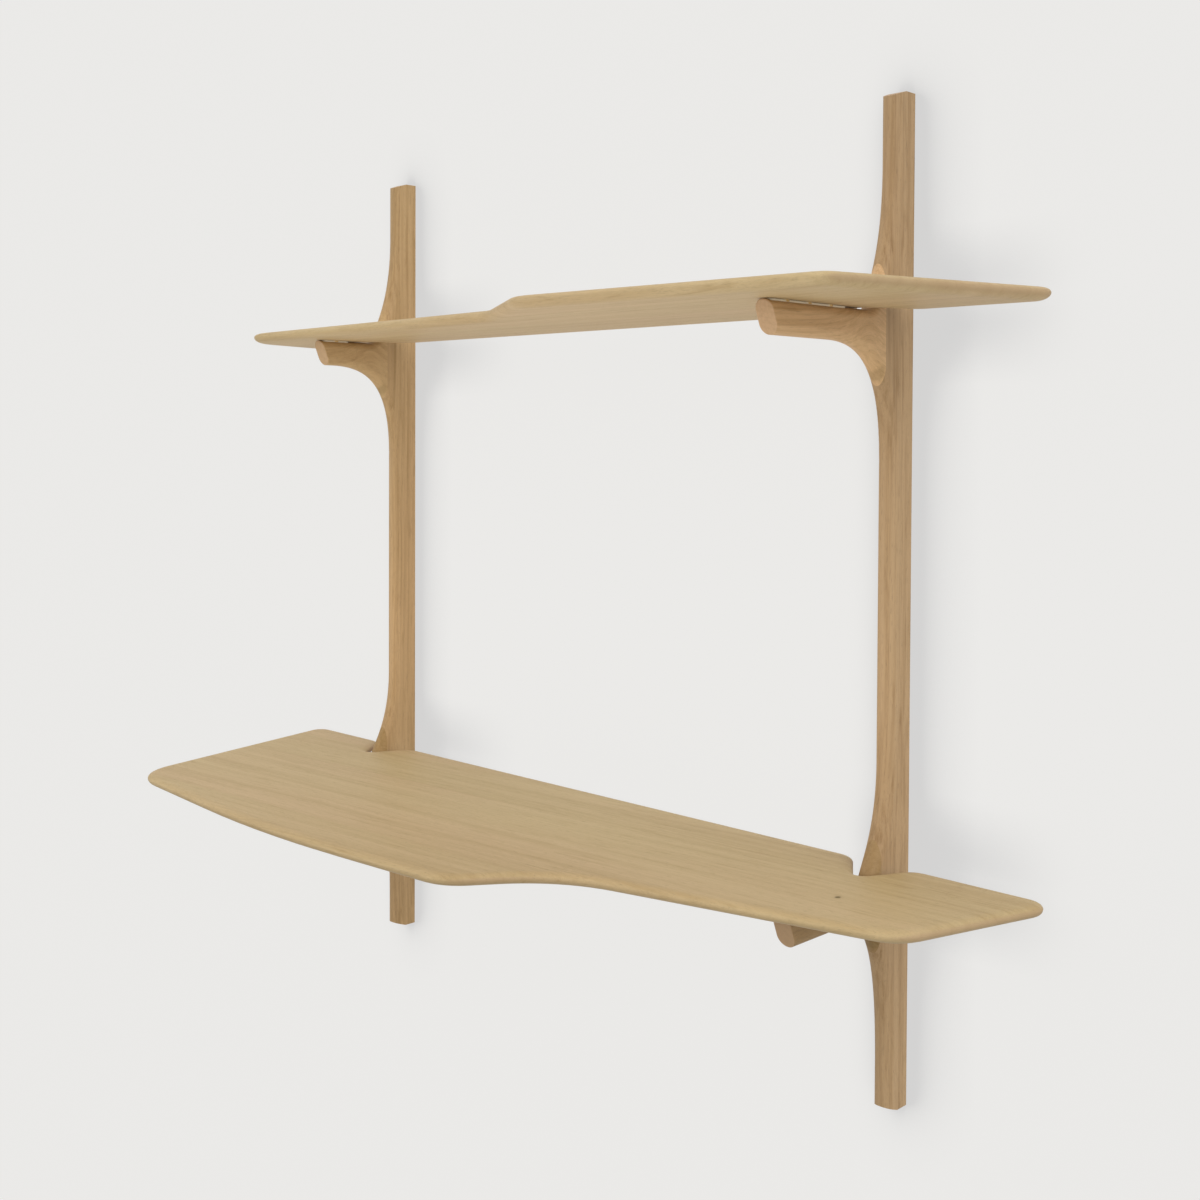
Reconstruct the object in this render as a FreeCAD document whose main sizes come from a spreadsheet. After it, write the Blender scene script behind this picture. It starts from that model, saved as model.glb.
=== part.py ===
import FreeCAD, Part
import math
import os

# Wall desk in oak. Two upright boards hang on the wall, and each carries an upper arm and a desk
# arm. A metal strip is let into the crown of every arm, and brass studs in the strip hold the
# upper shelf and the desktop a little above the wood.
# X runs to the right along the wall, Y into the wall and Z up. The wall is the plane Y = 0, and
# the origin lies midway between the four wall screws. "Out" is the distance from the wall, -Y.

doc = FreeCAD.newDocument("WallDesk")
sheet = doc.addObject("Spreadsheet::Sheet", "Sizes")

SIZES = (
    # Uprights and the edge that all the side boards share
    ("upright_spacing", 1000),
    ("upright_height", 1280),
    ("side_thickness", 26),
    ("edge_round", 12.7),
    ("edge_share", 0.49),
    ("middle_out", 43.3),
    ("end_out", 41),
    ("joint_out", 60),
    ("end_land", 20),
    ("end_slope", 0.35),
    # Arms: where their crowns lie, their depth, and how far their tips stay behind the boards' fronts
    ("shelf_below_top", 274.7),
    ("desk_above_foot", 296.3),
    ("arm_depth", 40.3),
    ("left_upper_front_gap", 41),
    ("right_upper_front_gap", 78),
    ("left_desk_front_gap", 81),
    ("right_desk_front_gap", 39),
    ("tip_setback", 16),
    ("tip_round", 1.2),
    ("blank_margin", 40),
    # Curves that lead from the uprights into the arms
    ("heel_out", 85),
    ("heel_round", 10),
    ("heel_lean", 0.45),
    ("upper_heel_rise", 185),
    ("upper_heel_bend", 88),
    ("desk_heel_rise", 148),
    ("desk_heel_bend", 68),
    ("inner_start_out", 164),
    ("inner_drop", 150),
    ("outer_start_out", 130),
    ("outer_drop", 200),
    ("curve_pull", 0.28),
    # Dowels between the arms and the uprights
    ("dowel_radius", 4),
    ("dowel_length", 60),
    ("dowel_chamfer", 1),
    ("dowel_crown_gap", 11),
    ("dowel_under_gap", 8),
    # Strips, their studs and their screws
    ("strip_heel_gap", 39),
    ("strip_tip_gap", 7),
    ("strip_width", 14),
    ("strip_thickness", 3),
    ("strip_sink", 2.7),
    ("left_upper_stud_count", 1),
    ("right_upper_stud_count", 3),
    ("left_desk_stud_count", 3),
    ("right_desk_stud_count", 2),
    ("stud_end_gap", 32),
    ("screw_end_gap", 9),
    ("stud_shank_radius", 3),
    ("collar_radius", 7.6),
    ("collar_sink", 2),
    ("collar_height", 0.4),
    ("pin_radius", 3),
    ("pin_end_gap", 2),
    ("bushing_radius", 7),
    ("bushing_cover", 3),
    ("wood_screw_radius", 1.75),
    ("wood_screw_head", 3.4),
    ("wood_screw_head_height", 1.7),
    ("wood_screw_length", 16),
    # Shelf boards: "overhang" is what stands past the middle of an upright
    ("board_thickness", 16),
    ("edge_top_run", 14),
    ("edge_top_fall", 6.2),
    ("top_share", 0.39),
    ("edge_under_run", 18),
    ("edge_under_rise", 9.4),
    ("under_share", 0.59),
    ("edge_over", 1),
    ("board_wall_gap", 26),
    ("board_back_round", 24),
    ("corner_share", 0.49),
    ("notch_left_gap", 40),
    ("notch_right_gap", 25),
    ("notch_heel_gap", 17),
    ("notch_round", 12),
    ("notch_mouth_round", 30),
    ("desk_overhang", 230),
    ("desk_left_inset", 104),
    ("desk_left_out", 449),
    ("desk_left_round", 82),
    ("desk_belly_x", -215),
    ("desk_belly_out", 491),
    ("desk_belly_round", 2000),
    ("desk_step_x", 151),
    ("desk_step_out", 467.5),
    ("desk_step_round", 70),
    ("desk_waist_x", 235),
    ("desk_waist_out", 348),
    ("desk_waist_round", 190),
    ("desk_right_inset", 66),
    ("desk_right_out", 250),
    ("desk_right_round", 56),
    ("shelf_overhang", 231),
    ("shelf_left_inset", 54),
    ("shelf_left_out", 223),
    ("shelf_left_round", 84),
    ("shelf_waist_x", 4),
    ("shelf_waist_out", 267.5),
    ("shelf_waist_round", 80),
    ("shelf_step_x", 186),
    ("shelf_step_out", 386),
    ("shelf_step_round", 60),
    ("shelf_right_inset", 93),
    ("shelf_right_out", 359),
    ("shelf_right_round", 30),
    # Hangers let into the backs of the uprights
    ("hanger_end_gap", 110),
    ("hanger_width", 18),
    ("hanger_screw_margin", 8),
    ("hanger_thickness", 2.5),
    ("hanger_screw_spacing", 48),
    ("keyhole_radius", 5),
    ("keyhole_slot_radius", 2.75),
    ("keyhole_slot_rise", 12),
    ("head_room_margin", 1.5),
    ("head_room_depth", 9),
    # Clearances
    ("wood_clearance", 0.1),
    ("metal_clearance", 0.1),
)

SIDES = ("left", "right")
LEVELS = ("upper", "desk")
UP = FreeCAD.Vector(0, 0, 1)
DOWN = FreeCAD.Vector(0, 0, -1)
OUTWARD = FreeCAD.Vector(0, -1, 0)
WALLWARD = FreeCAD.Vector(0, 1, 0)
TOUCH = 0.01

aliases = []
parts = []


def keep(alias, value):
    # Puts one size on the sheet under its own name
    aliases.append(alias)
    row = len(aliases)
    sheet.set("A%d" % row, alias)
    sheet.set("B%d" % row, "%.6g" % value)
    sheet.setAlias("B%d" % row, alias)
    sheet.recompute()


def size(alias):
    return float(sheet.get(alias))


def side_sign(side):
    return -1 if side == "left" else 1


def front_corner(name, x):
    return x, size(name + "_out"), size(name + "_round")


def desk_front():
    half = size("desk_half_width")
    return [front_corner("desk_left", size("desk_left_inset") - half),
            front_corner("desk_belly", size("desk_belly_x")),
            front_corner("desk_step", size("desk_step_x")),
            front_corner("desk_waist", size("desk_waist_x")),
            front_corner("desk_right", half - size("desk_right_inset"))]


def shelf_front():
    half = size("shelf_half_width")
    return [front_corner("shelf_left", size("shelf_left_inset") - half),
            front_corner("shelf_waist", size("shelf_waist_x")),
            front_corner("shelf_step", size("shelf_step_x")),
            front_corner("shelf_right", half - size("shelf_right_inset"))]


def front_out(corners, x):
    # How far a board's front lies from the wall at the place x
    for (start, start_out, _), (end, end_out, _) in zip(corners, corners[1:]):
        if start <= x <= end:
            return start_out + (end_out - start_out) * (x - start) / (end - start)
    raise ValueError("no front at %g" % x)


def keep_derived():
    # Sizes that follow from the driving ones
    half_height = size("upright_height") / 2
    half_spacing = size("upright_spacing") / 2
    keep("upper_crown", half_height - size("shelf_below_top"))
    keep("desk_crown", size("desk_above_foot") - half_height)
    keep("strip_start_out", size("heel_out") + size("heel_round") + size("strip_heel_gap"))
    keep("bushing_height", size("board_thickness") - size("bushing_cover"))
    keep("pin_height", size("bushing_height") - size("pin_end_gap"))
    keep("notch_left", size("side_thickness") / 2 + size("notch_left_gap"))
    keep("notch_right", size("side_thickness") / 2 + size("notch_right_gap"))
    keep("notch_apex_out", size("heel_out") + size("notch_heel_gap"))
    keep("hanger_spacing", 2 * (half_height - size("hanger_end_gap")))
    keep("hanger_length", size("hanger_screw_spacing") + 2 * size("hanger_screw_margin"))
    keep("head_room_width", 2 * (size("keyhole_radius") + size("head_room_margin")))
    keep("desk_half_width", half_spacing + size("desk_overhang"))
    keep("shelf_half_width", half_spacing + size("shelf_overhang"))
    fronts = {"upper": shelf_front(), "desk": desk_front()}
    for side in SIDES:
        for level in LEVELS:
            name = "%s_%s" % (side, level)
            front = front_out(fronts[level], side_sign(side) * half_spacing)
            keep(name + "_reach", front - size(name + "_front_gap"))


def new_body(label):
    body = doc.addObject("PartDesign::Body", label)
    body.Label = label
    parts.append(body)
    return body


def stand_at(body, side):
    # Moves a body that is drawn in the middle to its own upright
    body.setExpression("Placement.Base.x", "%d * Sizes.upright_spacing / 2" % side_sign(side))


def sketch_in(body, role, curves):
    sketch = body.newObject("Sketcher::SketchObject", body.Label + "_sketch")
    plane = [feature for feature in body.Origin.OriginFeatures if feature.Role == role][0]
    sketch.AttachmentSupport = [(plane, "")]
    sketch.MapMode = "FlatFace"
    sketch.addGeometry(curves, False)
    return sketch


def padded(body, sketch, length, symmetric=False):
    pad = body.newObject("PartDesign::Pad", body.Label + "_pad")
    pad.Profile = sketch
    pad.setExpression("Length", length)
    pad.Midplane = symmetric
    doc.recompute()
    return pad


def rounded(body, base, names, radius):
    fillet = body.newObject("PartDesign::Fillet", body.Label + "_round")
    fillet.Base = (base, names)
    fillet.setExpression("Radius", radius)
    doc.recompute()
    return fillet


def kept_inside(body, outline, frame):
    # Cuts away all that lies between the outline and a frame drawn well outside the board
    before = body.Shape.Volume
    sketch = sketch_in(body, "YZ_Plane", closed(frame) + closed(outline))
    pocket = body.newObject("PartDesign::Pocket", body.Label + "_trim")
    pocket.Profile = sketch
    pocket.Type = "ThroughAll"
    pocket.Midplane = True
    doc.recompute()
    if body.Shape.Volume >= before:
        raise RuntimeError("nothing was trimmed from " + body.Label)
    return pocket


def bore(body, radius, depth, start, direction):
    hole = body.newObject("PartDesign::SubtractiveCylinder", body.Label + "_bore")
    hole.setExpression("Radius", radius)
    hole.setExpression("Height", depth)
    hole.Placement = FreeCAD.Placement(start, FreeCAD.Rotation(UP, direction))


def countersink(body, start, direction):
    # Opens from the narrow end at start to the head's width at the face
    cone = body.newObject("PartDesign::SubtractiveCone", body.Label + "_countersink")
    cone.setExpression("Radius1", "Sizes.wood_screw_radius + Sizes.metal_clearance")
    cone.setExpression("Radius2", "Sizes.wood_screw_head + Sizes.metal_clearance")
    cone.setExpression("Height", "Sizes.wood_screw_head_height")
    cone.Placement = FreeCAD.Placement(start, FreeCAD.Rotation(UP, direction))


def recess(body, width, depth, height, corner):
    box = body.newObject("PartDesign::SubtractiveBox", body.Label + "_recess")
    box.setExpression("Length", width)
    box.setExpression("Width", depth)
    box.setExpression("Height", height)
    box.Placement.Base = corner


def at(out, up):
    # A point of a sketch in the YZ plane
    return FreeCAD.Vector(-out, up, 0)


def closed(points):
    return [Part.LineSegment(start, end) for start, end in zip(points, points[1:] + points[:1])]


def bezier(*poles):
    curve = Part.BezierCurve()
    curve.setPoles(list(poles))
    return curve.toBSpline()


def softened(corners):
    # A closed outline of straight edges whose corners (x, out, radius) are arcs
    points = [FreeCAD.Vector(x, -out, 0) for x, out, radius in corners]
    arcs = []
    for index, (x, out, radius) in enumerate(corners):
        point = points[index]
        back = points[index - 1] - point
        ahead = points[(index + 1) % len(points)] - point
        room = size("corner_share") * min(back.Length, ahead.Length)
        back.normalize()
        ahead.normalize()
        half = back.getAngle(ahead) / 2
        run = min(radius / math.tan(half), room)
        rounding = run * math.tan(half)
        middle = (back + ahead).normalize()
        crest = point + middle * (rounding / math.sin(half) - rounding)
        arcs.append((point + back * run, crest, point + ahead * run))
    curves = []
    for (start, crest, end), following in zip(arcs, arcs[1:] + arcs[:1]):
        curves.append(Part.Arc(start, crest, end))
        curves.append(Part.LineSegment(end, following[0]))
    return curves


def crown(level):
    return size(level + "_crown")


def reach(side, level):
    return size("%s_%s_reach" % (side, level))


def heel_curves(level, body_out):
    # From the crown of an arm up into the front of the upright
    foot = crown(level)
    bend = size("heel_round")
    lean = size("heel_lean")
    corner = size("heel_out")
    knee = at(corner - lean * bend, foot + bend)
    turn = size(level + "_heel_bend")
    rise = size(level + "_heel_rise")
    return [
        bezier(at(corner + bend, foot), at(corner, foot), knee),
        bezier(knee, at(corner - lean * turn / 2, foot + turn / 2), at(body_out, foot + turn),
               at(body_out, foot + rise)),
    ]


def belly_curve(level, start_out, body_out, drop):
    # From the underside of an arm down into the front of the upright
    under = crown(level) - size("arm_depth")
    pull = size("curve_pull")
    return bezier(at(start_out, under), at(body_out + pull * (start_out - body_out), under),
                  at(body_out, under - pull * drop), at(body_out, under - drop))


def reversed_curve(curve):
    turned = curve.copy()
    turned.reverse()
    return turned


def front_lines(side):
    # The three soft front lines of a side board, from top to bottom, over-long at both ends
    margin = size("blank_margin")
    top = size("upright_height") / 2 + margin
    end_out = size("end_out")
    middle_out = size("middle_out")
    upper_tip = reach(side, "upper") + margin
    desk_tip = reach(side, "desk") + margin
    upper_under = crown("upper") - size("arm_depth")
    desk_under = crown("desk") - size("arm_depth")
    upper_bend, upper_heel = heel_curves("upper", end_out)
    desk_bend, desk_heel = heel_curves("desk", middle_out)
    inner = belly_curve("upper", size("inner_start_out"), middle_out, size("inner_drop"))
    outer = belly_curve("desk", size("outer_start_out"), end_out, size("outer_drop"))
    above = [
        Part.LineSegment(at(end_out, top), upper_heel.EndPoint),
        reversed_curve(upper_heel),
        reversed_curve(upper_bend),
        Part.LineSegment(upper_bend.StartPoint, at(upper_tip, crown("upper"))),
    ]
    between = [
        Part.LineSegment(at(upper_tip, upper_under), inner.StartPoint),
        inner,
        Part.LineSegment(inner.EndPoint, desk_heel.EndPoint),
        reversed_curve(desk_heel),
        reversed_curve(desk_bend),
        Part.LineSegment(desk_bend.StartPoint, at(desk_tip, crown("desk"))),
    ]
    below = [
        Part.LineSegment(at(desk_tip, desk_under), outer.StartPoint),
        outer,
        Part.LineSegment(outer.EndPoint, at(end_out, -top)),
    ]
    return above, between, below


def side_board(body, side):
    # The over-long board that one upright and its two arms are cut from, with its front edges soft
    above, between, below = front_lines(side)
    top = size("upright_height") / 2 + size("blank_margin")
    outline = above + between + below + [
        Part.LineSegment(above[-1].EndPoint, between[0].StartPoint),
        Part.LineSegment(between[-1].EndPoint, below[0].StartPoint),
        Part.LineSegment(below[-1].EndPoint, at(0, -top)),
        Part.LineSegment(at(0, -top), at(0, top)),
        Part.LineSegment(at(0, top), above[0].StartPoint),
    ]
    pad = padded(body, sketch_in(body, "YZ_Plane", outline), "Sizes.side_thickness", True)
    fronts = Part.Compound([curve.toShape() for curve in above + between + below])
    names = []
    for index, edge in enumerate(pad.Shape.Edges, 1):
        if edge.BoundBox.XLength > TOUCH:
            continue
        middle = edge.valueAt((edge.FirstParameter + edge.LastParameter) / 2)
        if Part.Vertex(middle.y, middle.z, 0).distToShape(fronts)[0] < TOUCH:
            names.append("Edge%d" % index)
    rounded(body, pad, names, "min(Sizes.edge_round; Sizes.edge_share * Sizes.side_thickness)")


def outer_frame():
    beyond = 2 * size("blank_margin")
    half = size("upright_height") / 2 + beyond
    far = max(reach(side, level) for side in SIDES for level in LEVELS) + beyond
    return [at(-beyond, -half), at(far, -half), at(far, half), at(-beyond, half)]


def dowel_heights(level):
    under = crown(level) - size("arm_depth")
    return under + size("dowel_under_gap"), crown(level) - size("dowel_crown_gap")


def dowel_holes(body, level, direction):
    for height in dowel_heights(level):
        start = FreeCAD.Vector(0, -size("joint_out"), height)
        bore(body, "Sizes.dowel_radius + Sizes.wood_clearance",
             "Sizes.dowel_length / 2 + Sizes.wood_clearance", start, direction)


def hanger_heights():
    half = size("hanger_spacing") / 2
    return {"top": half, "bottom": -half}


def hanger_screw_offsets():
    # The screws stand around the middle of the plate, which is half a slot above the keyhole
    middle = size("keyhole_slot_rise") / 2
    half = size("hanger_screw_spacing") / 2
    return middle - half, middle + half


def hanger_seat(body, height):
    middle = height + size("keyhole_slot_rise") / 2
    width = size("hanger_width") / 2 + size("metal_clearance")
    length = size("hanger_length") / 2 + size("metal_clearance")
    depth = size("hanger_thickness")
    recess(body, "Sizes.hanger_width + 2 * Sizes.metal_clearance", "Sizes.hanger_thickness",
           "Sizes.hanger_length + 2 * Sizes.metal_clearance",
           FreeCAD.Vector(-width, -depth, middle - length))
    room = size("head_room_width")
    recess(body, "Sizes.head_room_width", "Sizes.head_room_depth",
           "Sizes.head_room_width + Sizes.keyhole_slot_rise",
           FreeCAD.Vector(-room / 2, -depth - size("head_room_depth"), height - room / 2))
    for offset in hanger_screw_offsets():
        start = FreeCAD.Vector(0, -depth, height + offset)
        bore(body, "Sizes.wood_screw_radius + Sizes.wood_clearance",
             "Sizes.wood_screw_length - Sizes.hanger_thickness + Sizes.wood_clearance",
             start, OUTWARD)


def upright(side):
    body = new_body(side + "_upright")
    side_board(body, side)
    half = size("upright_height") / 2
    land = size("end_land")
    joint = size("joint_out")
    drop = (joint - land) * size("end_slope")
    behind = size("blank_margin")
    kept_inside(body, [at(-behind, -half), at(land, -half), at(joint, drop - half),
                       at(joint, half - drop), at(land, half), at(-behind, half)], outer_frame())
    for level in LEVELS:
        dowel_holes(body, level, WALLWARD)
    for height in hanger_heights().values():
        hanger_seat(body, height)
    stand_at(body, side)


def strip_ends(side, level, gap):
    # The outermost places for a stud or a screw that keeps a gap from both ends of a strip
    return size("strip_start_out") + gap, reach(side, level) - size("strip_tip_gap") - gap


def stud_outs(side, level):
    # Studs stand evenly along the strip, and a single one stands in its middle
    first, last = strip_ends(side, level, size("stud_end_gap"))
    count = int(size("%s_%s_stud_count" % (side, level)))
    if count == 1:
        return [(first + last) / 2]
    return [first + (last - first) * index / (count - 1) for index in range(count)]


def screw_outs(side, level):
    # Two wood screws hold each strip, one near each end
    return strip_ends(side, level, size("screw_end_gap"))


def strip_floor(level):
    return crown(level) - size("strip_sink")


def strip_top(level):
    return strip_floor(level) + size("strip_thickness")


def arm(side, level):
    body = new_body("%s_%s_arm" % (side, level))
    side_board(body, side)
    joint = size("joint_out")
    tip = reach(side, level)
    under_tip = tip - size("tip_setback")
    top = crown(level)
    under = top - size("arm_depth")
    high = top + size(level + "_heel_rise")
    low = under - max(size("inner_drop"), size("outer_drop"))
    trim = kept_inside(body, [at(joint, low), at(under_tip, low), at(under_tip, under), at(tip, top),
                              at(tip, high), at(joint, high)], outer_frame())
    slant = FreeCAD.Vector(0, -size("arm_depth"), -size("tip_setback")).normalize()
    ends = [index for index, face in enumerate(trim.Shape.Faces, 1)
            if face.normalAt(0, 0).getAngle(slant) < TOUCH]
    rounded(body, trim, ["Face%d" % ends[0]], "Sizes.tip_round")
    dowel_holes(body, level, OUTWARD)
    clearance = size("metal_clearance")
    groove_end = tip - size("strip_tip_gap") + clearance
    recess(body, "Sizes.strip_width + 2 * Sizes.metal_clearance",
           "Sizes.%s_%s_reach - Sizes.strip_tip_gap - Sizes.strip_start_out"
           " + 2 * Sizes.metal_clearance" % (side, level), "Sizes.strip_thickness",
           FreeCAD.Vector(-size("strip_width") / 2 - clearance, -groove_end, strip_floor(level)))
    for out in screw_outs(side, level):
        bore(body, "Sizes.wood_screw_radius + Sizes.wood_clearance",
             "Sizes.wood_screw_length - Sizes.strip_thickness + Sizes.wood_clearance",
             FreeCAD.Vector(0, -out, strip_floor(level)), DOWN)
    stand_at(body, side)


def strip(side, level):
    body = new_body("%s_%s_strip" % (side, level))
    half = size("strip_width") / 2
    near = -size("strip_start_out") - half
    far = size("strip_tip_gap") + half - reach(side, level)
    corner = FreeCAD.Vector
    outline = [
        Part.LineSegment(corner(half, far, 0), corner(half, near, 0)),
        Part.Arc(corner(half, near, 0), corner(0, near + half, 0), corner(-half, near, 0)),
        Part.LineSegment(corner(-half, near, 0), corner(-half, far, 0)),
        Part.Arc(corner(-half, far, 0), corner(0, far - half, 0), corner(half, far, 0)),
    ]
    stud_hole = size("stud_shank_radius") + size("metal_clearance")
    screw_hole = size("wood_screw_radius") + size("metal_clearance")
    for out in stud_outs(side, level):
        outline.append(Part.Circle(corner(0, -out, 0), UP, stud_hole))
    for out in screw_outs(side, level):
        outline.append(Part.Circle(corner(0, -out, 0), UP, screw_hole))
    padded(body, sketch_in(body, "XY_Plane", outline), "Sizes.strip_thickness")
    seat = size("strip_thickness") - size("collar_sink")
    for out in stud_outs(side, level):
        bore(body, "Sizes.collar_radius + Sizes.metal_clearance", "Sizes.collar_sink",
             corner(0, -out, seat), UP)
    sink = size("strip_thickness") - size("wood_screw_head_height")
    for out in screw_outs(side, level):
        countersink(body, corner(0, -out, sink), UP)
    stand_at(body, side)
    body.setExpression("Placement.Base.z", "Sizes.%s_crown - Sizes.strip_sink" % level)


def turned_row(label, profile, starts, direction):
    # Equal turned pieces in one row: a half outline (radius, height) spun about its own axis
    body = new_body(label)
    points = [FreeCAD.Vector(radius, height, 0) for radius, height in profile]
    sketch = sketch_in(body, "XZ_Plane", closed(points))
    spin = body.newObject("PartDesign::Revolution", label + "_spin")
    spin.Profile = sketch
    spin.ReferenceAxis = (sketch, ["V_Axis"])
    spin.Angle = 360
    doc.recompute()
    turn = FreeCAD.Rotation(UP, direction)
    if len(starts) > 1:
        pattern = body.newObject("PartDesign::LinearPattern", label + "_row")
        pattern.Originals = [spin]
        span = turn.inverted().multVec(starts[-1] - starts[0])
        roles = ("X_Axis", "Y_Axis", "Z_Axis")
        reach_along = [abs(span.x), abs(span.y), abs(span.z)]
        longest = reach_along.index(max(reach_along))
        axis = [item for item in body.Origin.OriginFeatures if item.Role == roles[longest]][0]
        pattern.Direction = (axis, [""])
        pattern.Reversed = (span.x, span.y, span.z)[longest] < 0
        pattern.Length = span.Length
        pattern.Occurrences = len(starts)
        body.Tip = pattern
        doc.recompute()
    body.Placement = FreeCAD.Placement(starts[0], turn)


def on_side(side, out, up):
    return FreeCAD.Vector(side_sign(side) * size("upright_spacing") / 2, -out, up)


def dowels(side, level):
    radius = size("dowel_radius")
    length = size("dowel_length")
    cut = size("dowel_chamfer")
    profile = [(0, 0), (radius - cut, 0), (radius, cut), (radius, length - cut),
               (radius - cut, length), (0, length)]
    inner_end = size("joint_out") - length / 2
    turned_row("%s_%s_dowels" % (side, level), profile,
               [on_side(side, inner_end, height) for height in dowel_heights(level)], OUTWARD)


def screw_profile():
    # The head's flat face is at height 0 and the point at the screw's length
    radius = size("wood_screw_radius")
    head = size("wood_screw_head")
    neck = size("wood_screw_head_height")
    length = size("wood_screw_length")
    return [(0, 0), (head, 0), (radius, neck), (radius, length - 2 * radius), (0, length)]


def strip_screws(side, level):
    starts = [on_side(side, out, strip_top(level)) for out in screw_outs(side, level)]
    turned_row("%s_%s_strip_screws" % (side, level), screw_profile(), starts, DOWN)


def studs(side, level):
    shank = size("stud_shank_radius")
    collar = size("collar_radius")
    pin = size("pin_radius")
    base = size("strip_thickness") - size("collar_sink")
    shoulder = size("strip_thickness") + size("collar_height")
    tip = shoulder + size("pin_height")
    profile = [(0, 0), (shank, 0), (shank, base), (collar, base), (collar, shoulder),
               (pin, shoulder), (pin, tip - pin / 2), (pin / 2, tip), (0, tip)]
    starts = [on_side(side, out, strip_floor(level)) for out in stud_outs(side, level)]
    turned_row("%s_%s_studs" % (side, level), profile, starts, UP)


def board_under(level):
    return strip_top(level) + size("collar_height")


def bushings(side, level):
    inner = size("pin_radius") + size("metal_clearance")
    outer = size("bushing_radius")
    height = size("bushing_height")
    profile = [(inner, 0), (outer, 0), (outer, height), (inner, height)]
    starts = [on_side(side, out, board_under(level)) for out in stud_outs(side, level)]
    turned_row("%s_%s_bushings" % (side, level), profile, starts, UP)


def notch(side):
    # The opening in a board's back edge that lets an upright's heel through, read from the right
    middle = side_sign(side) * size("upright_spacing") / 2
    back = size("board_wall_gap")
    mouth = size("notch_mouth_round")
    return [(middle + size("notch_right"), back, mouth),
            (middle, size("notch_apex_out"), size("notch_round")),
            (middle - size("notch_left"), back, mouth)]


def edge_profile(face, run, fall, turn):
    # What is taken off a board's back edge on one face: the part outside a quarter of an ellipse.
    # The face lies at the height "face", and turn is 1 for the top and -1 for the underside
    back = size("board_wall_gap")
    over = size("edge_over")
    middle = at(back + run, face - turn * fall)
    ellipse = Part.Ellipse(at(back, middle.y), at(back + run, middle.y + fall), middle)
    first = 0 if turn > 0 else 1.5 * math.pi
    quarter = Part.ArcOfEllipse(ellipse, first, first + math.pi / 2)
    corners = [at(back, middle.y), at(back - over, middle.y), at(back - over, face + turn * over),
               at(back + run, face + turn * over), at(back + run, face)]
    return [quarter] + [Part.LineSegment(*pair) for pair in zip(corners, corners[1:])]


def softened_edge(body, outline, profile):
    # Leads the profile once round the board's outline and takes it off
    before = body.Shape.Volume
    sweep = body.newObject("PartDesign::SubtractivePipe", body.Label + "_edge")
    sweep.Profile = sketch_in(body, "YZ_Plane", profile)
    sweep.Spine = (outline, [])
    doc.recompute()
    if body.Shape.Volume >= before:
        raise RuntimeError("the edge of %s was not softened" % body.Label)


def board(label, level, half_width, front):
    # A board whose edge is drawn out thin all round. The front lists its corners from the left
    body = new_body(label)
    back = size("board_wall_gap")
    corner = size("board_back_round")
    thickness = size("board_thickness")
    corners = [(-half_width, back, corner)] + front + [(half_width, back, corner)]
    corners += notch("right") + notch("left")
    outline = sketch_in(body, "XY_Plane", softened(corners))
    padded(body, outline, "Sizes.board_thickness")
    fall = min(size("edge_top_fall"), size("top_share") * thickness)
    rise = min(size("edge_under_rise"), size("under_share") * thickness)
    softened_edge(body, outline, edge_profile(thickness, size("edge_top_run"), fall, 1))
    softened_edge(body, outline, edge_profile(0, size("edge_under_run"), rise, -1))
    for side in SIDES:
        for out in stud_outs(side, level):
            bore(body, "Sizes.bushing_radius + Sizes.wood_clearance",
                 "Sizes.bushing_height + Sizes.wood_clearance", on_side(side, out, 0), UP)
    body.setExpression("Placement.Base.z", "Sizes.%s_crown - Sizes.strip_sink"
                       " + Sizes.strip_thickness + Sizes.collar_height" % level)


def keyhole():
    # A round entry at the sketch's origin with a slot above it for the screw's shank
    radius = size("keyhole_radius")
    slot = size("keyhole_slot_radius")
    rise = size("keyhole_slot_rise")
    lip = math.sqrt(radius ** 2 - slot ** 2)
    corner = FreeCAD.Vector
    return [
        Part.Arc(corner(-slot, lip, 0), corner(0, -radius, 0), corner(slot, lip, 0)),
        Part.LineSegment(corner(slot, lip, 0), corner(slot, rise, 0)),
        Part.Arc(corner(slot, rise, 0), corner(0, rise + slot, 0), corner(-slot, rise, 0)),
        Part.LineSegment(corner(-slot, rise, 0), corner(-slot, lip, 0)),
    ]


def hanger(side, end, height):
    body = new_body("%s_%s_hanger" % (side, end))
    half = size("hanger_width") / 2
    middle = size("keyhole_slot_rise") / 2
    straight = size("hanger_length") / 2 - half
    corner = FreeCAD.Vector
    outline = [
        Part.LineSegment(corner(half, middle - straight, 0), corner(half, middle + straight, 0)),
        Part.Arc(corner(half, middle + straight, 0), corner(0, middle + straight + half, 0),
                 corner(-half, middle + straight, 0)),
        Part.LineSegment(corner(-half, middle + straight, 0), corner(-half, middle - straight, 0)),
        Part.Arc(corner(-half, middle - straight, 0), corner(0, middle - straight - half, 0),
                 corner(half, middle - straight, 0)),
    ]
    screw_hole = size("wood_screw_radius") + size("metal_clearance")
    for offset in hanger_screw_offsets():
        outline.append(Part.Circle(corner(0, offset, 0), UP, screw_hole))
    padded(body, sketch_in(body, "XZ_Plane", outline + keyhole()), "Sizes.hanger_thickness")
    for offset in hanger_screw_offsets():
        countersink(body, corner(0, -size("wood_screw_head_height"), offset), WALLWARD)
    stand_at(body, side)
    body.Placement.Base.z = height


def hanger_screws(side, end, height):
    starts = [on_side(side, 0, height + offset) for offset in hanger_screw_offsets()]
    turned_row("%s_%s_hanger_screws" % (side, end), screw_profile(), starts, OUTWARD)


for alias, value in SIZES:
    keep(alias, value)
keep_derived()
doc.recompute()

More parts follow.
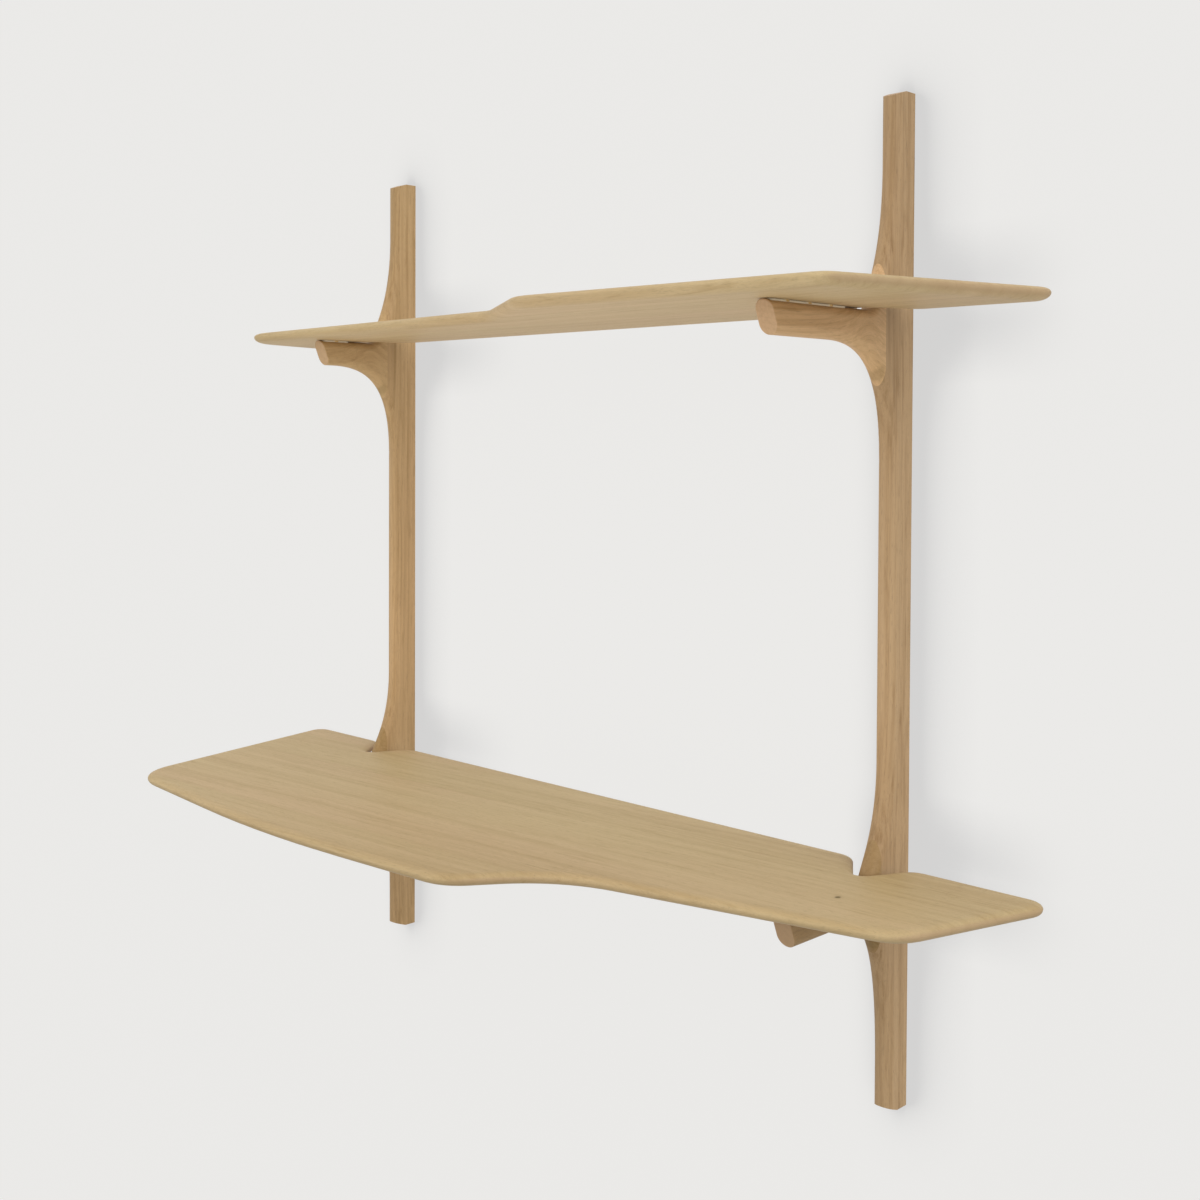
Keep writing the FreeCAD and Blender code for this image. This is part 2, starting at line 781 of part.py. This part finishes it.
for side in SIDES:
    upright(side)
    for level in LEVELS:
        arm(side, level)
        dowels(side, level)
        strip(side, level)
        strip_screws(side, level)
        studs(side, level)
        bushings(side, level)
    for end, height in hanger_heights().items():
        hanger(side, end, height)
        hanger_screws(side, end, height)
board("upper_shelf", "upper", size("shelf_half_width"), shelf_front())
board("desktop", "desk", size("desk_half_width"), desk_front())

doc.recompute()
for item in doc.Objects:
    if "Invalid" in item.State or "Error" in item.State:
        raise RuntimeError("failed: " + item.Label)
for part in parts:
    if part.Shape.isNull() or not part.Shape.isValid():
        raise RuntimeError("no valid shape: " + part.Label)

os.makedirs("parts", exist_ok=True)
for part in parts:
    part.Shape.exportStep("parts/%s.step" % part.Label)
    print("%-28s solids %d  volume %.0f" % (part.Label, len(part.Shape.Solids), part.Shape.Volume))
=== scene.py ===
import math
from collections import namedtuple

import bpy
from mathutils import Matrix, Vector


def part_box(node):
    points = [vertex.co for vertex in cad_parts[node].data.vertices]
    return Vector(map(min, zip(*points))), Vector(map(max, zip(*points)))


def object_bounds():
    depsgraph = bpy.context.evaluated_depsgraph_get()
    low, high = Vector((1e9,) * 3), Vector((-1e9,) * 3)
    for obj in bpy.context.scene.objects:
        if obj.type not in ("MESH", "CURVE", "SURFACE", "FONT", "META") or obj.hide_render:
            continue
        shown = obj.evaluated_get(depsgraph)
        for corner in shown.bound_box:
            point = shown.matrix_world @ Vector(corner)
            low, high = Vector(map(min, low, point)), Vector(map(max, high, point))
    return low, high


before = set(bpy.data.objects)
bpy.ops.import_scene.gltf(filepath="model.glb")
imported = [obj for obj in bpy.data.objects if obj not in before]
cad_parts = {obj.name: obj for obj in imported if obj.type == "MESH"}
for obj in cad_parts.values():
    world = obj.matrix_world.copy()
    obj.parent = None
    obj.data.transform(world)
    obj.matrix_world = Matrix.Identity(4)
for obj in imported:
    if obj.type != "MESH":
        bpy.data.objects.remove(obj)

cad_low, cad_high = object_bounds()

# Axes, also those that grain runs along
X, Y, Z = 0, 1, 2

# The picture is square, and its optical axis runs above the middle
PICTURE = 1200
FOCAL_PIXELS = 1482.2
AXIS_ABOVE_MIDDLE = 128.2
SENSOR_MM = 36.0
CAMERA_PLACE = Vector((1.5416, -1.6077, 0.2088))
CAMERA_YAW = math.radians(44.496)
CAMERA_PITCH = math.radians(1.355)
CAMERA_ROLL = math.radians(0.24)

# Wall: the colour that it glows in, the paint under it and the painted shade beside the uprights
WALL_COLOUR = (0.831, 0.823, 0.807, 1)
WALL_PAINT = (0.78, 0.785, 0.79, 1)
WALL_ROUGHNESS = 0.9
WALL_GLOW = 0.97
WALL_SHADE = (0.0, 0.01, 0.05, 1)
SHADE_SAMPLES = 16
SHADE_DEPTH = 0.85
SHADE_MOST = 0.205
SHADE_REACH = 0.10
SHADE_LEFT = 0.09
SHADE_RIGHT = 0.30
WALL_GAP = 0.0005
STAGE_REACH = 14.0

# Light: the room above and the floor below a soft border, and a card that throws light up
ROOM_LIGHT = (0.895, 0.890, 0.880, 1)
FLOOR_LIGHT = (0.50, 0.497, 0.490, 1)
LIGHT_BORDER = 0.4
CARD_POWER = 3.0
CARD_SIZE = (1.7, 0.5)
CARD_PLACE = (0.0, -0.45, -0.28)

# Names of pieces
SIDES = ("left", "right")
LEVELS = ("upper", "desk")
ENDS = ("top", "bottom")

# Tones of oak, pale and deep, for each board
DESK_TONES = ((0.570, 0.433, 0.223, 1), (0.405, 0.273, 0.117, 1))
SHELF_TONES = ((0.628, 0.480, 0.256, 1), (0.446, 0.302, 0.135, 1))
UPRIGHT_TONES = {"left": ((0.530, 0.357, 0.173, 1), (0.345, 0.210, 0.082, 1)),
                 "right": ((0.475, 0.316, 0.166, 1), (0.306, 0.183, 0.078, 1))}
UPPER_ARM_TONES = {"left": ((0.583, 0.393, 0.191, 1), (0.371, 0.226, 0.089, 1)),
                   "right": ((0.731, 0.490, 0.255, 1), (0.445, 0.268, 0.112, 1))}
# Painted shade: the desk arms lie under the desk, so they take the uprights' tones darkened by
# this share, most in blue
DESK_ARM_PAINTED_SHADE = (0.84, 0.83, 0.68, 1)
DOWEL_TONES = ((0.66, 0.50, 0.33, 1), (0.57, 0.40, 0.24, 1))
ROSY_TINT = (1.0, 0.955, 0.99, 1)
KNOT_COLOUR = (0.16, 0.105, 0.02, 1)

# Cut ends of the wood: a colour and its share
BOARD_END = ((0.400, 0.268, 0.150, 1), 0.6)
ARM_END = ((0.560, 0.372, 0.230, 1), 0.45)
FACING = (0.35, 0.9)
TIP_REACH = (0.02, 0.03)

# A layer of noise in the wood repeats so many times to the metre along, across and in the depth of
# the grain, with a shift along it, and counts between two limits
Layer = namedtuple("Layer", "along across depth shift detail roughness limits",
                   defaults=(0.0, 2.0, 0.5, None))
BEND = Layer(1.5, 5.0, 5.0)
WAVE = Layer(5.5, 22.0, 22.0, shift=9.0)
CLOUD = Layer(1.3, 7.0, 7.0, limits=(0.3, 0.7))
SHOWN = Layer(1.1, 12.0, 12.0, shift=4.0, detail=1.0, limits=(0.4, 0.66))
BAND = Layer(0.9, 36.0, 22.0, detail=3.0, roughness=0.55, limits=(0.3, 0.7))
STREAK = Layer(1.7, 190.0, 190.0, detail=3.0, roughness=0.6, limits=(0.42, 0.66))
BOARD_STREAK = STREAK._replace(across=80.0, depth=22.0)
LINE = Layer(3.0, 270.0, 190.0, detail=3.0, roughness=0.65, limits=(0.50, 0.68))
PATCH = Layer(2.3, 30.0, 20.0, shift=2.0, detail=1.0, limits=(0.38, 0.62))
FLECK = Layer(15.0, 170.0, 120.0, limits=(0.60, 0.72))
BLUSH = Layer(0.9, 5.0, 5.0, shift=6.0, detail=1.0, limits=(0.35, 0.65))
FIBRE = Layer(17.0, 950.0, 950.0, roughness=0.6, limits=(0.35, 0.75))
PORE = Layer(90.0, 1700.0, 1700.0, detail=1.0, limits=(0.58, 0.72))

# How the grain runs: metres that it strays, across and in the depth
NOISE_MIDDLE = 0.5
BEND_STRAY = (0.034, 0.020)
WAVE_STRAY = (0.007, 0.005)
SWELL_STRAY = (0.009, 0.032)
SWELL_REACH = 0.042
STAVE_JUMP = 7.0

# Year rings
RING_WIDTH = 0.0062
RING_STIR = 5.0
LATE_WOOD = (0.25, 0.85)
RING_EDGE = (0.9, 1.0)
FAINTEST_RING = 0.4
FAINTEST_THREAD = 0.35
LATE_PORES = 0.6

# Shares of the deep tone, and of black in fibres and pores
BAND_SHARE = 0.18
FLECK_SHARE = 0.3
CLOUD_SHARE = 0.16
FIGURE_SHARE = 0.22
STAVE_SHARE = 0.12
FIBRE_SHARE = 0.08
PORE_SHARE = 0.24
UPRIGHT_BOLD = 0.40
ARM_BOLD = 0.27
BOARD_BOLD = 0.22

# Surface of the wood
WOOD_ROUGHNESS = 0.50
ROUGHNESS_SPREAD = 0.10
WOOD_SPECULAR = 0.35
FIBRE_HEIGHT = 0.35
PORE_HEIGHT = 0.7
THREAD_HEIGHT = 0.2
WOOD_RELIEF = 0.0003
BUMP_STRENGTH = 0.5

# A knot lies at a place along the grain and at another on an axis across it. Along the grain it is
# as long as its size times its squash
Knot = namedtuple("Knot", "place axis other size squash share")
DESK_KNOT = Knot(0.5378, Y, -0.1874, 0.0045, 0.8, 1.0)
KNOT_STIR = 0.35
KNOT_CORE = (0.4, 1.2)
KNOT_HALO = (0.4, 2.6)
HALO_SHARE = 0.15

# Arms: where the fibres arch, the pith and the burr at the root lie, from the arm's own box
ARM_SWELL = 0.035
ARM_PITH = (0.05, 0.06)
ARM_SEED = {"left": 2.6, "right": 4.6}
ARM_SEED_RISE = 5.0
BURR_PLACE = (0.006, 0.014)
BURR_SIZE, BURR_SQUASH, BURR_SHARE = 0.012, 0.55, 0.30

# Uprights: how far beside the middle the pith lies on the left and on the right, and how deep
UPRIGHT_PITH = {"left": -0.09, "right": 0.11}
UPRIGHT_PITH_DEPTH = 0.06
UPRIGHT_SEED = {"left": 1.9, "right": 5.2}

# Other finishes: repeats to the metre along each axis, tones, roughness and relief
PEEL = (900.0, 900.0, 900.0)
DUST = (45.0, 45.0, 45.0)
TURNING = (40.0, 40.0, 5200.0)
TARNISH = (160.0, 160.0, 160.0)
ROLLING = (3000.0, 3000.0, 60.0)
SPANGLE = 420.0
FINE = {"detail": 3.0, "roughness": 0.6}
DUST_LIMITS = (0.35, 0.8)
TARNISH_LIMITS = (0.35, 0.75)
CREAM = ((0.90, 0.80, 0.60, 1), (0.82, 0.71, 0.51, 1))
BRASS = ((0.78, 0.56, 0.26, 1), (0.60, 0.39, 0.15, 1))
STEEL = ((0.62, 0.61, 0.59, 1), (0.50, 0.49, 0.48, 1))
ZINC = ((0.60, 0.60, 0.59, 1), (0.47, 0.48, 0.49, 1))
BRASS_ROUGHNESS = 0.24
STEEL_ROUGHNESS = 0.30
ZINC_ROUGHNESS = 0.34
CREAM_ROUGHNESS = 0.36
DUST_ROUGHNESS = 0.18
TURNING_ROUGHNESS = 0.12
TARNISH_ROUGHNESS = 0.10
SPANGLE_ROUGHNESS = 0.12
ROLLING_ROUGHNESS = 0.08
PEEL_RELIEF = 0.00008
TURNING_RELIEF = 0.00004
ROLLING_RELIEF = 0.00003


class Socket:
    """One output of a material's nodes, with the sums that the finishes are written in."""

    def __init__(self, tree, output):
        self.tree = tree
        self.output = output

    def node(self, kind, settings=None, inputs=None, output=0):
        made = self.tree.nodes.new(kind)
        for key, value in (settings or {}).items():
            setattr(made, key, value)
        for key, value in (inputs or {}).items():
            if isinstance(value, Socket):
                self.tree.links.new(value.output, made.inputs[key])
            else:
                made.inputs[key].default_value = value
        return Socket(self.tree, made.outputs[output])

    def math(self, operation, *values):
        return self.node("ShaderNodeMath", {"operation": operation}, dict(enumerate(values)))

    def __add__(self, other):
        return self.math("ADD", self, other)

    def __radd__(self, other):
        return self.math("ADD", other, self)

    def __sub__(self, other):
        return self.math("SUBTRACT", self, other)

    def __rsub__(self, other):
        return self.math("SUBTRACT", other, self)

    def __mul__(self, other):
        return self.math("MULTIPLY", self, other)

    def __rmul__(self, other):
        return self.math("MULTIPLY", other, self)

    def __truediv__(self, other):
        return self.math("DIVIDE", self, other)

    def __rtruediv__(self, other):
        return self.math("DIVIDE", other, self)

    def floor(self):
        return self.math("FLOOR", self)

    def fraction(self):
        return self.math("FRACT", self)

    def root(self):
        return self.math("SQRT", self)

    def size(self):
        return self.math("ABSOLUTE", self)

    def between(self, low, high):
        # 0 below low and 1 above high, with a smooth step
        return self.node("ShaderNodeMapRange", {"interpolation_type": "SMOOTHSTEP"},
                         {"Value": self, "From Min": low, "From Max": high})

    def random(self):
        # One random number for each whole number
        return self.node("ShaderNodeTexWhiteNoise", {"noise_dimensions": "1D"}, {"W": self})

    def vector(self, first, second, third):
        return self.node("ShaderNodeCombineXYZ", None, dict(enumerate((first, second, third))))

    def noise(self, point, detail=2.0, roughness=0.5):
        return self.node("ShaderNodeTexNoise", None,
                         {"Vector": point, "Scale": 1.0, "Detail": detail, "Roughness": roughness})

    def mixed(self, first, second):
        # Two colours, mixed by this value
        return self.node("ShaderNodeMix", {"data_type": "RGBA"},
                         {"Factor": self, 6: first, 7: second}, 2)

    def darkened(self, colour, share):
        # The colour, less this value's share of it
        return (self * share).mixed(colour, (0, 0, 0, 1))


def new_material(name):
    material = bpy.data.materials.new(name)
    material.use_nodes = True
    tree = material.node_tree
    shader = tree.nodes["Principled BSDF"]
    place = tree.nodes.new("ShaderNodeTexCoord")
    return material, shader, Socket(tree, place.outputs["Object"])


def axes_of(point):
    split = point.node("ShaderNodeSeparateXYZ", None, {0: point})
    return [Socket(point.tree, output) for output in split.output.node.outputs]


def repeated(point, times):
    # The place, counted so many times to the metre along each axis
    x, y, z = axes_of(point)
    return point.vector(x * times[X], y * times[Y], z * times[Z])


def finish(shader, point, colour, roughness, height, distance):
    # Feeds what varies over the surface into the shader
    bump = point.node("ShaderNodeBump", None,
                      {"Height": height, "Strength": BUMP_STRENGTH, "Distance": distance})
    links = point.tree.links
    links.new(colour.output, shader.inputs["Base Color"])
    links.new(roughness.output, shader.inputs["Roughness"])
    links.new(bump.output, shader.inputs["Normal"])


def facing(point, axis):
    # 1 where the surface looks along an axis, 0 where it runs beside it
    normal = point.node("ShaderNodeNewGeometry", output="Normal")
    return axes_of(normal)[axis].size().between(*FACING)


def tinted(colour, tint):
    return tuple(part * share for part, share in zip(colour, tint))


def oak(name, along, tones, pith, seed, stave=None, knots=(), swell=None, lean=0.0,
        bold=UPRIGHT_BOLD, streaks=STREAK, end=None, tip=None):
    # Oiled oak with its grain along one axis, or leaning a little from it. Year rings lie round a
    # pith outside the board and come and go, and each glued stave, where there are staves, has its
    # own stretch of the tree. A swell is a place along the grain where the fibres arch. Bold
    # streaks and threads are dark. An end is the colour of cut fibres and its share, only near the
    # tip where one is given
    material, shader, point = new_material(name)
    pale, deep = tones
    parts = axes_of(point)
    grain = parts[along] + seed
    across = parts[Y if along == X else X] - parts[along] * lean
    depth = parts[Y if along == Z else Z]

    def noise(layer):
        place = point.vector(grain * layer.along + layer.shift, across * layer.across,
                             depth * layer.depth)
        return point.noise(place, layer.detail, layer.roughness)

    def counted(layer):
        return noise(layer).between(*layer.limits)

    tone = None
    if stave:
        tone = (across / stave + seed).floor().random()
        grain = grain + tone * STAVE_JUMP
    if swell is not None:
        away = (parts[along] - swell) / SWELL_REACH
        arch = 1 / (1 + away * away)
        across = across + arch * SWELL_STRAY[0]
        depth = depth - arch * SWELL_STRAY[1]
    bend = noise(BEND) - NOISE_MIDDLE
    wave = noise(WAVE) - NOISE_MIDDLE
    across = across + bend * BEND_STRAY[0] + wave * WAVE_STRAY[0]
    depth = depth + bend * BEND_STRAY[1] - wave * WAVE_STRAY[1]

    cloud = noise(CLOUD)
    from_pith = across - pith[0]
    up_pith = depth - pith[1]
    radius = (from_pith * from_pith + up_pith * up_pith).root()
    ring = radius / RING_WIDTH + cloud * RING_STIR
    season = ring.fraction()
    late = season.between(*LATE_WOOD) * (1 - season.between(*RING_EDGE))
    strength = FAINTEST_RING + ring.floor().random() * (1 - FAINTEST_RING)
    figure = late * counted(SHOWN) * strength

    line = noise(LINE)
    patchy = FAINTEST_THREAD + counted(PATCH) * (1 - FAINTEST_THREAD)
    thread = line.between(*LINE.limits) * patchy
    fibre = noise(FIBRE)
    pores = counted(PORE) * (1 - late * LATE_PORES)
    shade = (counted(BAND) * BAND_SHARE + thread * bold + counted(streaks) * bold
             + counted(FLECK) * FLECK_SHARE + cloud.between(*CLOUD.limits) * CLOUD_SHARE
             + figure * FIGURE_SHARE)
    if tone:
        shade = shade + tone * STAVE_SHARE - STAVE_SHARE / 2
    colour = shade.mixed(counted(BLUSH).mixed(pale, tinted(pale, ROSY_TINT)), deep)
    colour = fibre.between(*FIBRE.limits).darkened(colour, FIBRE_SHARE)
    colour = pores.darkened(colour, PORE_SHARE)
    for knot in knots:
        aside = (parts[along] - knot.place) / (knot.size * knot.squash)
        over = (parts[knot.axis] - knot.other) / knot.size
        spread = (aside * aside + over * over).root() + (fibre + line - 1.0) * KNOT_STIR
        core = (1 - spread.between(*KNOT_CORE)) + (1 - spread.between(*KNOT_HALO)) * HALO_SHARE
        colour = (core * knot.share).mixed(colour, KNOT_COLOUR)
    if end:
        cut_colour, cut_share = end
        cut = facing(point, along) * cut_share
        if tip is not None:
            cut = cut * (1 - parts[along].between(tip + TIP_REACH[0], tip + TIP_REACH[1]))
        colour = cut.mixed(colour, cut_colour)

    roughness = WOOD_ROUGHNESS + fibre * ROUGHNESS_SPREAD + pores * ROUGHNESS_SPREAD
    height = fibre * FIBRE_HEIGHT - pores * PORE_HEIGHT - thread * THREAD_HEIGHT
    finish(shader, point, colour, roughness, height, WOOD_RELIEF)
    shader.inputs["Specular IOR Level"].default_value = WOOD_SPECULAR
    return material


def painted_strip(name):
    # Cream paint with a fine orange peel and a little dust
    material, shader, point = new_material(name)
    peel = point.noise(repeated(point, PEEL))
    dust = point.noise(repeated(point, DUST), **FINE)
    colour = dust.between(*DUST_LIMITS).mixed(*CREAM)
    roughness = CREAM_ROUGHNESS + dust * DUST_ROUGHNESS
    finish(shader, point, colour, roughness, peel, PEEL_RELIEF)
    return material


def turned_metal(name, tones, base_roughness):
    # Bare metal from a lathe: fine rings along the height and a little tarnish
    material, shader, point = new_material(name)
    lines = point.noise(repeated(point, TURNING))
    tarnish = point.noise(repeated(point, TARNISH), **FINE)
    colour = tarnish.between(*TARNISH_LIMITS).mixed(*tones)
    roughness = base_roughness + lines * TURNING_ROUGHNESS + tarnish * TARNISH_ROUGHNESS
    finish(shader, point, colour, roughness, lines, TURNING_RELIEF)
    shader.inputs["Metallic"].default_value = 1.0
    return material


def zinc(name):
    # Zinc-plated sheet: a soft spangle with fine rolling lines
    material, shader, point = new_material(name)
    spangle = point.node("ShaderNodeTexVoronoi", {"feature": "F1"},
                         {"Vector": point, "Scale": SPANGLE}, "Color")
    level = axes_of(spangle)[0]
    rolled = point.noise(repeated(point, ROLLING))
    colour = level.mixed(*ZINC)
    roughness = ZINC_ROUGHNESS + level * SPANGLE_ROUGHNESS + rolled * ROLLING_ROUGHNESS
    finish(shader, point, colour, roughness, rolled, ROLLING_RELIEF)
    shader.inputs["Metallic"].default_value = 1.0
    return material


def dress(node, material):
    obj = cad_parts[node]
    if not obj.material_slots:
        obj.data.materials.append(material)
    for slot in obj.material_slots:
        slot.material = material


def middle_x(node):
    low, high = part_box(node)
    return (low.x + high.x) / 2


def dress_boards():
    dress("desktop", oak("desktop_oak", X, DESK_TONES, pith=(-0.30, -0.20), seed=0.31, stave=0.12,
                         knots=(DESK_KNOT,), lean=0.07, bold=BOARD_BOLD, streaks=BOARD_STREAK,
                         end=BOARD_END))
    dress("upper_shelf", oak("shelf_oak", X, SHELF_TONES, pith=(-0.12, 0.55), seed=4.7, stave=0.11,
                             bold=BOARD_BOLD, streaks=BOARD_STREAK, end=BOARD_END))


def dress_wood(side):
    upright = side + "_upright"
    dress(upright, oak(upright + "_oak", Z, UPRIGHT_TONES[side],
                       pith=(middle_x(upright) + UPRIGHT_PITH[side], UPRIGHT_PITH_DEPTH),
                       seed=UPRIGHT_SEED[side], end=ARM_END))
    for level in LEVELS:
        arm = "%s_%s_arm" % (side, level)
        low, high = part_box(arm)
        if level == "upper":
            tones = UPPER_ARM_TONES[side]
        else:
            # Painted shade: the uprights' tones, darkened for the shade under the desk
            tones = [tinted(tone, DESK_ARM_PAINTED_SHADE) for tone in UPRIGHT_TONES[side]]
        burr = Knot(high.y - BURR_PLACE[0], Z, low.z + BURR_PLACE[1],
                    BURR_SIZE, BURR_SQUASH, BURR_SHARE)
        dress(arm, oak(arm + "_oak", Y, tones,
                       pith=(middle_x(arm) + ARM_PITH[0], high.z + ARM_PITH[1]),
                       seed=ARM_SEED[side] + low.z * ARM_SEED_RISE, knots=(burr,),
                       swell=high.y - ARM_SWELL, bold=ARM_BOLD, end=ARM_END, tip=low.y))


def dress_all():
    dress_boards()
    strip = painted_strip("strip_paint")
    brass = turned_metal("stud_brass", BRASS, BRASS_ROUGHNESS)
    steel = turned_metal("screw_steel", STEEL, STEEL_ROUGHNESS)
    plate = zinc("hanger_zinc")
    dowel = oak("dowel_beech", Y, DOWEL_TONES, pith=(0.2, 0.1), seed=8.3)
    for side in SIDES:
        dress_wood(side)
        for level in LEVELS:
            name = "%s_%s" % (side, level)
            dress(name + "_dowels", dowel)
            dress(name + "_strip", strip)
            dress(name + "_strip_screws", steel)
            dress(name + "_studs", brass)
            dress(name + "_bushings", brass)
        for end in ENDS:
            name = "%s_%s_hanger" % (side, end)
            dress(name, plate)
            dress(name + "_screws", steel)


def place_camera():
    forward = Vector((-math.sin(CAMERA_YAW) * math.cos(CAMERA_PITCH),
                      math.cos(CAMERA_YAW) * math.cos(CAMERA_PITCH), -math.sin(CAMERA_PITCH)))
    level = Vector((math.cos(CAMERA_YAW), math.sin(CAMERA_YAW), 0))
    above = level.cross(forward)
    right = level * math.cos(CAMERA_ROLL) + above * math.sin(CAMERA_ROLL)
    up = above * math.cos(CAMERA_ROLL) - level * math.sin(CAMERA_ROLL)
    data = bpy.data.cameras.new("camera")
    data.sensor_width = SENSOR_MM
    data.lens = FOCAL_PIXELS / PICTURE * SENSOR_MM
    data.shift_y = -AXIS_ABOVE_MIDDLE / PICTURE
    camera = bpy.data.objects.new("camera", data)
    turn = Matrix((right, up, -forward)).transposed()
    camera.matrix_world = Matrix.Translation(CAMERA_PLACE) @ turn.to_4x4()
    bpy.context.scene.collection.objects.link(camera)
    bpy.context.scene.camera = camera


def wall_glow_with_painted_shadow(point):
    # Even glow with a painted shadow: darker where the desk is close, beside the uprights only and
    # most on their right, away from the key light
    open_air = point.node("ShaderNodeAmbientOcclusion", {"samples": SHADE_SAMPLES},
                          {"Distance": SHADE_REACH}, "AO")
    beside = 0
    for side in SIDES:
        aside = axes_of(point)[X] - middle_x(side + "_upright")
        beside = aside.between(-SHADE_LEFT, 0) * (1 - aside.between(0, SHADE_RIGHT)) + beside
    # Painted shadow: ambient occlusion, kept only beside the uprights and capped at SHADE_MOST
    shade = (1 - open_air) * beside * SHADE_DEPTH
    return shade.math("MINIMUM", shade, SHADE_MOST).mixed(WALL_COLOUR, WALL_SHADE)


def stage_material():
    # Pale paint that shows from its front only, so that the desk can be seen from behind. To the
    # eye and in reflections it glows, which keeps the wall even; the glow carries a painted shadow
    # beside the uprights
    material, shader, point = new_material("stage_paint")
    tree = material.node_tree
    shader.inputs["Base Color"].default_value = WALL_PAINT
    shader.inputs["Roughness"].default_value = WALL_ROUGHNESS
    shader.inputs["Specular IOR Level"].default_value = 0.0
    glow = tree.nodes.new("ShaderNodeEmission")
    tree.links.new(wall_glow_with_painted_shadow(point).output, glow.inputs["Color"])
    rays = tree.nodes.new("ShaderNodeLightPath")
    seen = Socket(tree, rays.outputs["Is Camera Ray"])
    for kind in ("Is Glossy Ray", "Is Transmission Ray"):
        seen = seen.math("MAXIMUM", seen, Socket(tree, rays.outputs[kind]))
    even = tree.nodes.new("ShaderNodeMixShader")
    tree.links.new((seen * WALL_GLOW).output, even.inputs["Fac"])
    tree.links.new(shader.outputs["BSDF"], even.inputs[1])
    tree.links.new(glow.outputs["Emission"], even.inputs[2])
    clear = tree.nodes.new("ShaderNodeBsdfTransparent")
    side = tree.nodes.new("ShaderNodeNewGeometry")
    mix = tree.nodes.new("ShaderNodeMixShader")
    tree.links.new(side.outputs["Backfacing"], mix.inputs["Fac"])
    tree.links.new(even.outputs["Shader"], mix.inputs[1])
    tree.links.new(clear.outputs["BSDF"], mix.inputs[2])
    tree.links.new(mix.outputs["Shader"], tree.nodes["Material Output"].inputs["Surface"])
    return material


def stage_plane(name, material, corners):
    # A stage that holds no light back, so that what lies close against it isn't dark from behind
    mesh = bpy.data.meshes.new(name)
    mesh.from_pydata(corners, [], [range(len(corners))])
    mesh.materials.append(material)
    plane = bpy.data.objects.new(name, mesh)
    plane.visible_diffuse = False
    plane.visible_shadow = False
    bpy.context.scene.collection.objects.link(plane)


def set_stage():
    wall = cad_high.y + WALL_GAP
    far = STAGE_REACH
    stage_plane("wall", stage_material(),
                [(-far, wall, -far), (far, wall, -far), (far, wall, far), (-far, wall, far)])


def sun(name, strength, angle, direction):
    data = bpy.data.lights.new(name, "SUN")
    data.energy = strength
    data.angle = math.radians(angle)
    lamp = bpy.data.objects.new(name, data)
    lamp.rotation_euler = Vector(direction).to_track_quat("-Z", "Y").to_euler()
    bpy.context.scene.collection.objects.link(lamp)


def card(name, power, reach, place):
    # A pale card that throws light straight up. It doesn't show itself
    data = bpy.data.lights.new(name, "AREA")
    data.shape = "RECTANGLE"
    data.size, data.size_y = reach
    data.energy = power
    lamp = bpy.data.objects.new(name, data)
    lamp.rotation_euler = Vector((0, 0, 1)).to_track_quat("-Z", "Y").to_euler()
    lamp.location = place
    lamp.visible_camera = False
    bpy.context.scene.collection.objects.link(lamp)


def set_light():
    world = bpy.data.worlds.new("soft_light")
    world.use_nodes = True
    tree = world.node_tree
    towards = Socket(tree, tree.nodes.new("ShaderNodeTexCoord").outputs["Generated"])
    height = axes_of(towards)[Z]
    sky = height.between(-LIGHT_BORDER, LIGHT_BORDER).mixed(FLOOR_LIGHT, ROOM_LIGHT)
    tree.links.new(sky.output, tree.nodes["Background"].inputs["Color"])
    bpy.context.scene.world = world
    sun("key", strength=0.55, angle=24, direction=(0.74, 1.0, -0.2))
    sun("fill", strength=1.0, angle=60, direction=(-1.0, 0.2, -0.4))
    card("card", CARD_POWER, CARD_SIZE, CARD_PLACE)


dress_all()
place_camera()
set_stage()
set_light()
bpy.context.scene.view_settings.view_transform = "Standard"
